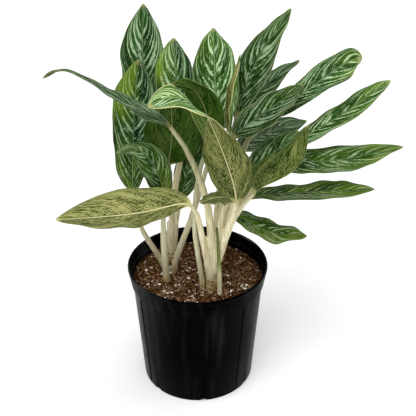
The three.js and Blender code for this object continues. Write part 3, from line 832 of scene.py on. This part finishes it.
def shape_leaf(blade, length, seed):
    """Side veins, midrib groove and soft waves, and the coordinates that the finishes read."""
    # s runs from the neck at 0 to the tip at 1, and t from one margin at -1 to the other at 1.
    s, t = values(blade, "along"), values(blade, "across")
    out = np.abs(t)
    reach, face = values(blade, "reach"), values(blade, "face_side")
    lift = values(blade, "lift", 3)
    lift /= np.linalg.norm(lift, axis=1, keepdims=True) + 1e-9
    outward = values(blade, "outward", 3)

    def waves(along, across, lane):
        """Slow noise over the blade, in a lane of its own."""
        return np.array([noise.noise(Vector((a, b, lane))) for a, b in zip(along, across)])

    # The side veins of both halves leave the midrib in turn, and curve towards the tip.
    from_rib = out * reach
    sweep = LEAST_SWEEP + SWEEP_BY_WIDTH * reach.max()
    vein = length * s + sweep * np.log(1 - VEIN_CURVE * np.clip(out, 0, 1))
    shift = np.where(t < 0, HALF_SHIFT, 0.0)
    quilt = np.cos(2 * math.pi * (vein / VEIN_STEP + shift))
    # Each form dies out over its own shares of the blade, towards the neck, the tip or a side.
    quilted = rise(out, 0.15) * rise(1 - out, 0.25) * rise(s, 0.08) * rise(1 - s, 0.1)
    heights = QUILT_HEIGHT * quilt * quilted
    groove = GROOVE_DEPTH * np.exp(-(from_rib / GROOVE_WIDTH) ** 2)
    heights -= groove * rise(1 - s, 0.3) * rise(s, 0.06)
    drift = waves(7.0 * s, 1.6 * t, 3.1 * seed)
    heights += WAVE_HEIGHT * drift * t ** 2 * rise(s, 0.15) * rise(1 - s, 0.12)
    wobble = waves(5.5 * s, 2.0 * np.sign(t), 5.3 * seed + 9)
    wobble *= WOBBLE * np.sign(t) * out ** 1.5 * rise(s, 0.15) * rise(1 - s, 0.1)
    shifted = lift * heights[:, None] + outward * wobble[:, None]
    move_points(blade, points_of(blade) + shifted)
    lane = np.where(t < 0, HALF_LANE, 0.0) + LEAF_LANE * seed
    store(blade, "flow", np.stack([vein, from_rib, lane], axis=1))
    store(blade, "place", np.stack([s, out, face], axis=1))
    for name in ("along", "across", "reach", "face_side", "lift", "outward"):
        blade.data.attributes.remove(blade.data.attributes[name])


def make_blade(node, looks, seed):
    """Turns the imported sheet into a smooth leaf, and returns the piece."""
    blade = copy_of(node, node.replace("_leaf", "_blade"))
    edit(blade, "DESELECT")
    bpy.ops.mesh.select_mode(type="EDGE")
    net = bmesh.from_edit_mesh(blade.data)
    along = net.verts.layers.float.new("along")
    across = net.verts.layers.float.new("across")
    reach = net.verts.layers.float.new("reach")
    face = net.verts.layers.float.new("face_side")
    lift = net.verts.layers.float_vector.new("lift")
    outward = net.verts.layers.float_vector.new("outward")
    sheets, spine = read_grid(net, looks)
    steps = np.cumsum([0] + [(b - a).length for a, b in zip(spine, spine[1:])])
    # Each vertex keeps its place on the leaf, which the finished skin then has everywhere.
    where = {}
    for row, (upper, under) in enumerate(sheets):
        right = (upper[-1].co - upper[0].co).normalized()
        width = sum((a.co - b.co).length for a, b in zip(upper, upper[1:])) / 2
        for column, (top, bottom) in enumerate(zip(upper, under)):
            for sign, v in ((1, top), (-1, bottom)):
                v[along] = steps[row] / steps[-1]
                v[across] = 0 if row == LAST_ROW else 2 * column / (COLUMNS - 1) - 1
                v[reach] = NECK_RADIUS if row == 0 else width
                v[face] = sign
                v[lift] = (top.co - bottom.co).normalized()
                v[outward] = right
                where[v] = (row, column, sign)
    # Only the lines of the grid stay, and the slanting edges of its triangles are dissolved.
    for edge in net.edges:
        (row, column, sign), (row_2, column_2, sign_2) = (where[v] for v in edge.verts)
        if sign == sign_2:
            keep = row == row_2 or column == column_2 or LAST_ROW in (row, row_2)
        else:
            keep = row == row_2 and column == column_2
        edge.select_set(not keep)
    for patch in net.faces:
        patch.material_index = int(all(where[v][2] < 0 for v in patch.verts))
    bmesh.update_edit_mesh(blade.data)
    bpy.ops.mesh.dissolve_edges(use_verts=False)
    bpy.ops.mesh.select_all(action="DESELECT")
    # The margins and the neck are creased, so that smoothing keeps the outline.
    net = bmesh.from_edit_mesh(blade.data)
    across = net.verts.layers.float["across"]
    along = net.verts.layers.float["along"]
    face = net.verts.layers.float["face_side"]
    for edge in net.edges:
        a, b = edge.verts
        margin = all(abs(v[across]) > 0.99 or v[along] == 1 for v in (a, b))
        neck = a[along] == 0 and b[along] == 0
        edge.select_set(margin and a[face] == b[face] or neck)
    bmesh.update_edit_mesh(blade.data)
    bpy.ops.transform.edge_crease(value=1)
    bpy.ops.object.mode_set(mode="OBJECT")
    apply_modifier(blade, "SUBSURF", levels=3, render_levels=3)
    shape_leaf(blade, steps[-1], seed)
    return blade


def leaf_finish(name, greens, stripe, streak, lime, grey_tone, rib, margin_tone, roughness):
    """One side of the blade: greens under stripes and streaks that follow the side veins.

    Pitch, sizes and width are in mm. Marks show where their noise passes "from", and are whole
    where it is "soft" above that. A share says how strongly they cover what lies under them.
    """
    finish, tree, shader = start_material(
        name, Roughness=roughness, IOR=1.42, Specular_IOR_Level=0.05
    )

    def vein_noise(size, lane, detail):
        """Noise of this size in mm along the midrib and out from it, in a lane of its own."""
        space = add(tree, "Mapping", {
            "Vector": flow, "Scale": (1000 / size[0], 1000 / size[1], 1), "Location": (0, 0, lane),
        })
        return add(tree, "TexNoise", {
            "Vector": space.outputs["Vector"], "Scale": 1.0, "Detail": detail, "Roughness": 0.6,
        }).outputs["Fac"]

    flow = add(tree, "Attribute", attribute_name="flow").outputs["Vector"]
    from_rib = add(tree, "SeparateXYZ", {"Vector": flow}).outputs["Y"]
    place = add(tree, "Attribute", attribute_name="place").outputs["Vector"]
    along, across, _ = add(tree, "SeparateXYZ", {"Vector": place}).outputs
    tint = add(tree, "Attribute", attribute_name="tint").outputs["Vector"]
    lime_share, grey_share, tone_light_and_shade = add(tree, "SeparateXYZ", {"Vector": tint}).outputs

    # Stripes: soft clouds between the veins, drawn out into feathers and frayed at the edges.
    patch = vein_noise(PATCH_SIZE, 8, 1.0)
    fray = vein_noise(stripe["fray_size"], 12, 2.0)
    broad = vein_noise(stripe["size"], 0, 3.0)
    feather_scale = 1000 / stripe["pitch"]
    feather_space = add(tree, "Mapping", {
        "Vector": flow, "Scale": (feather_scale, feather_scale / 3, 1),
    })
    feather = add(tree, "TexWave", {
        "Vector": feather_space.outputs["Vector"], "Scale": math.pi / 10,
        "Distortion": stripe["sway"], "Detail": 2.0, "Detail Scale": 0.7,
    })
    uneven = add(tree, "Math", {
        0: feather.outputs["Fac"], 1: 0.23, 2: broad,
    }, operation="MULTIPLY_ADD")
    frayed = add(tree, "Math", {
        0: fray, 1: stripe["fray"], 2: uneven.outputs["Value"],
    }, operation="MULTIPLY_ADD")
    widened = add(tree, "Math", {
        0: patch, 1: stripe["drift"], 2: frayed.outputs["Value"],
    }, operation="MULTIPLY_ADD")
    stripes = add(tree, "MapRange", {
        "Value": widened.outputs["Value"], "From Min": stripe["from"],
        "From Max": stripe["from"] + stripe["soft"],
    }, interpolation_type="SMOOTHSTEP")

    # Streaks: thin broken lines of the same tone. All marks fade at the margin and at the midrib.
    fine = vein_noise(streak["size"], 4, 2.0)
    frayed_fine = add(tree, "Math", {0: fray, 1: 0.2, 2: fine}, operation="MULTIPLY_ADD")
    streaks = add(tree, "MapRange", {
        "Value": frayed_fine.outputs["Value"], "From Min": streak["from"],
        "From Max": streak["from"] + streak["soft"], "To Max": streak["share"],
    }, interpolation_type="SMOOTHSTEP")
    either = add(tree, "Math", {
        0: stripes.outputs["Result"], 1: streaks.outputs["Result"],
    }, operation="MAXIMUM")
    inside_margin = add(tree, "MapRange", {
        "Value": across, "From Min": MARGIN_BAND[0], "From Max": MARGIN_BAND[1],
        "To Min": 1.0, "To Max": 0.5,
    })
    beside_rib = add(tree, "MapRange", {
        "Value": from_rib, "From Min": RIB_BAND[0], "From Max": RIB_BAND[1],
        "To Min": 0.25, "To Max": 1.0,
    })
    away = add(tree, "Math", {
        0: inside_margin.outputs["Result"], 1: beside_rib.outputs["Result"],
    }, operation="MULTIPLY")
    marks = add(tree, "Math", {
        0: either.outputs["Value"], 1: away.outputs["Value"],
    }, operation="MULTIPLY")

    # Ground: three greens, with lime in large patches, and grey where the leaf has it, which is
    # partly a painted sheen.
    ground_tone = add(tree, "Math", {0: patch, 1: 0.8, 2: fine}, operation="MULTIPLY_ADD")
    ground = add(tree, "ValToRGB", {"Fac": ground_tone.outputs["Value"]}, stops=[
        (0.68, greens[0]), (0.88, greens[1]), (1.0, greens[2]),
    ])
    lime_patch = add(tree, "MapRange", {
        "Value": vein_noise(LIME_PATCH_SIZE, 16, 1.0), "From Min": 0.42, "From Max": 0.58,
        "To Min": lime["least"],
    }, interpolation_type="SMOOTHSTEP")
    lime_mask = add(tree, "Math", {
        0: lime_share, 1: lime_patch.outputs["Result"],
    }, operation="MULTIPLY")
    limed = add(tree, "Mix", {
        0: lime_mask.outputs["Value"], 6: ground.outputs["Color"], 7: linear(lime["ground"]),
    }, data_type="RGBA")
    mark_tone = add(tree, "Mix", {
        0: lime_mask.outputs["Value"], 6: linear(stripe["tone"]), 7: linear(lime["marks"]),
    }, data_type="RGBA")
    marked = add(tree, "Mix", {
        0: marks.outputs["Value"], 6: limed.outputs[2], 7: mark_tone.outputs[2],
    }, data_type="RGBA")
    grey_and_sheen = add(tree, "Math", {0: grey_share, 1: 0.6}, operation="MULTIPLY")
    greyed = add(tree, "Mix", {
        0: grey_and_sheen.outputs["Value"], 6: marked.outputs[2], 7: linear(grey_tone),
    }, data_type="RGBA")

    # Midrib, a pale line that narrows to the tip, then the margin's line and the dry pale ends.
    rib_width = add(tree, "MapRange", {
        "Value": along, "To Min": rib["width"] / 1000, "To Max": RIB_AT_TIP,
    })
    rib_widths = add(tree, "Math", {
        0: from_rib, 1: rib_width.outputs["Result"],
    }, operation="DIVIDE")
    rib_mask = add(tree, "MapRange", {
        "Value": rib_widths.outputs["Value"], "From Min": 0.6, "From Max": 1.2,
        "To Min": rib["share"], "To Max": 0.0,
    }, interpolation_type="SMOOTHSTEP")
    less_lime = add(tree, "Math", {0: lime_mask.outputs["Value"], 1: 0.6}, operation="MULTIPLY")
    rib_tone = add(tree, "Mix", {
        0: less_lime.outputs["Value"], 6: linear(rib["tone"]), 7: linear(lime["marks"]),
    }, data_type="RGBA")
    ribbed = add(tree, "Mix", {
        0: rib_mask.outputs["Result"], 6: greyed.outputs[2], 7: rib_tone.outputs[2],
    }, data_type="RGBA")
    edge_line = add(tree, "MapRange", {
        "Value": across, "From Min": EDGE_LINE[0], "From Max": EDGE_LINE[1],
    })
    pale_edge = add(tree, "Attribute", attribute_name="pale_edge")
    margin_mask = add(tree, "Math", {
        0: edge_line.outputs["Result"], 1: pale_edge.outputs["Fac"],
    }, operation="MULTIPLY")
    rimmed = add(tree, "Mix", {
        0: margin_mask.outputs["Value"], 6: ribbed.outputs[2], 7: linear(margin_tone),
    }, data_type="RGBA")
    end_mask = add(tree, "ValToRGB", {"Fac": along}, stops=[
        (0.012, "#ffffff"), (0.05, "#000000"), (0.95, "#000000"), (0.99, "#c8c8c8"),
    ])
    ended = add(tree, "Mix", {
        0: end_mask.outputs["Color"], 6: rimmed.outputs[2], 7: linear("#aaaa70"),
    }, data_type="RGBA")
    # Each blade is made lighter or darker as a whole, partly its own tone and partly painted light
    # and shade.
    lit = add(tree, "HueSaturation", {"Color": ended.outputs[2], "Value": tone_light_and_shade})
    tree.links.new(lit.outputs["Color"], shader.inputs["Base Color"])
    skin = add(tree, "Bump", {"Height": fray, "Strength": 0.3, "Distance": 0.0005})
    tree.links.new(skin.outputs["Normal"], shader.inputs["Normal"])
    return finish


# Dark green with broad silver feathers that slant to the margin, under a soft wax sheen.
silver_side = leaf_finish(
    "waxy_silver_feathered_leaf",
    greens=("#052206", "#0c370c", "#20521f"),
    stripe={
        "pitch": 18, "sway": 9, "size": (8, 13), "fray": 0.66, "fray_size": (2.6, 1.8),
        "drift": 0.4, "from": 1.2, "soft": 0.09, "tone": "#a9c499",
    },
    streak={"size": (2.4, 7), "from": 0.68, "soft": 0.06, "share": 0.3},
    lime={"ground": "#5f8412", "least": 0.3, "marks": "#bccb86"},
    grey_tone="#6f7d66",
    rib={"width": 0.9, "share": 0.6, "tone": "#9db288"},
    margin_tone="#d3cf95",
    roughness=0.42,
)
# Duller olive with small khaki flecks and a broad cream midrib.
olive_side = leaf_finish(
    "flecked_leaf_underside",
    greens=("#1a2b00", "#2b3f04", "#475a14"),
    stripe={
        "pitch": 6, "sway": 12, "size": (5.6, 2.4), "fray": 0.8, "fray_size": (3.8, 1.4),
        "drift": 0.65, "from": 1.305, "soft": 0.16, "tone": "#92905b",
    },
    streak={"size": (5, 2), "from": 0.6, "soft": 0.06, "share": 0.5},
    lime={"ground": "#174606", "least": 0.8, "marks": "#5a7a2b"},
    grey_tone="#a5a582",
    rib={"width": 1.5, "share": 0.9, "tone": "#d6cc9c"},
    margin_tone="#a3a36a",
    roughness=0.5,
)

for seed, (node, (looks, lime, deep_green_and_shade, grey, light_and_shade)) in enumerate(LEAVES.items()):
    blade = make_blade(node, looks, seed)
    lane = values(blade, "flow", 3)[:, 2] - LEAF_LANE * seed
    half = np.where(lane > HALF_LANE / 2, -1, 1)
    along, across, face = values(blade, "place", 3).T
    # A lime half is lime from its midrib out and from mid-blade on, a lime tip over the last third,
    # and a lime foot up to nearly the middle.
    toward = 1.0
    if node in LIME_SIDES:
        toward = np.clip(1.4 * LIME_SIDES[node] * half * across + 0.35, 0, 1)
        toward = toward * rise(along - 0.5, 0.2, least=0.15)
    near_tip = LIME_TIPS.get(node, 0) * rise(along - TIP_START, 0.2)
    near_foot = LIME_FEET.get(node, 0) * rise(FOOT_END - along, 0.3)
    tint = np.tile([lime, grey, light_and_shade], (len(blade.data.vertices), 1))
    limes = np.minimum(lime * toward + near_tip + near_foot, MOST_LIME)
    # The under side's deep green is partly painted light through the blade where it lies in shade.
    tint[:, 0] = np.where(face > 0, limes, deep_green_and_shade)
    store(blade, "tint", tint)
    pale_edge = PALE_EDGES.get(node, FAINT_EDGE)
    store(blade, "pale_edge", np.full(len(blade.data.vertices), pale_edge))
    blade.data.materials.append(silver_side)
    blade.data.materials.append(olive_side)
    shade_smooth(blade)
    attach(blade, "root")
    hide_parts(node)

bpy.context.view_layer.update()
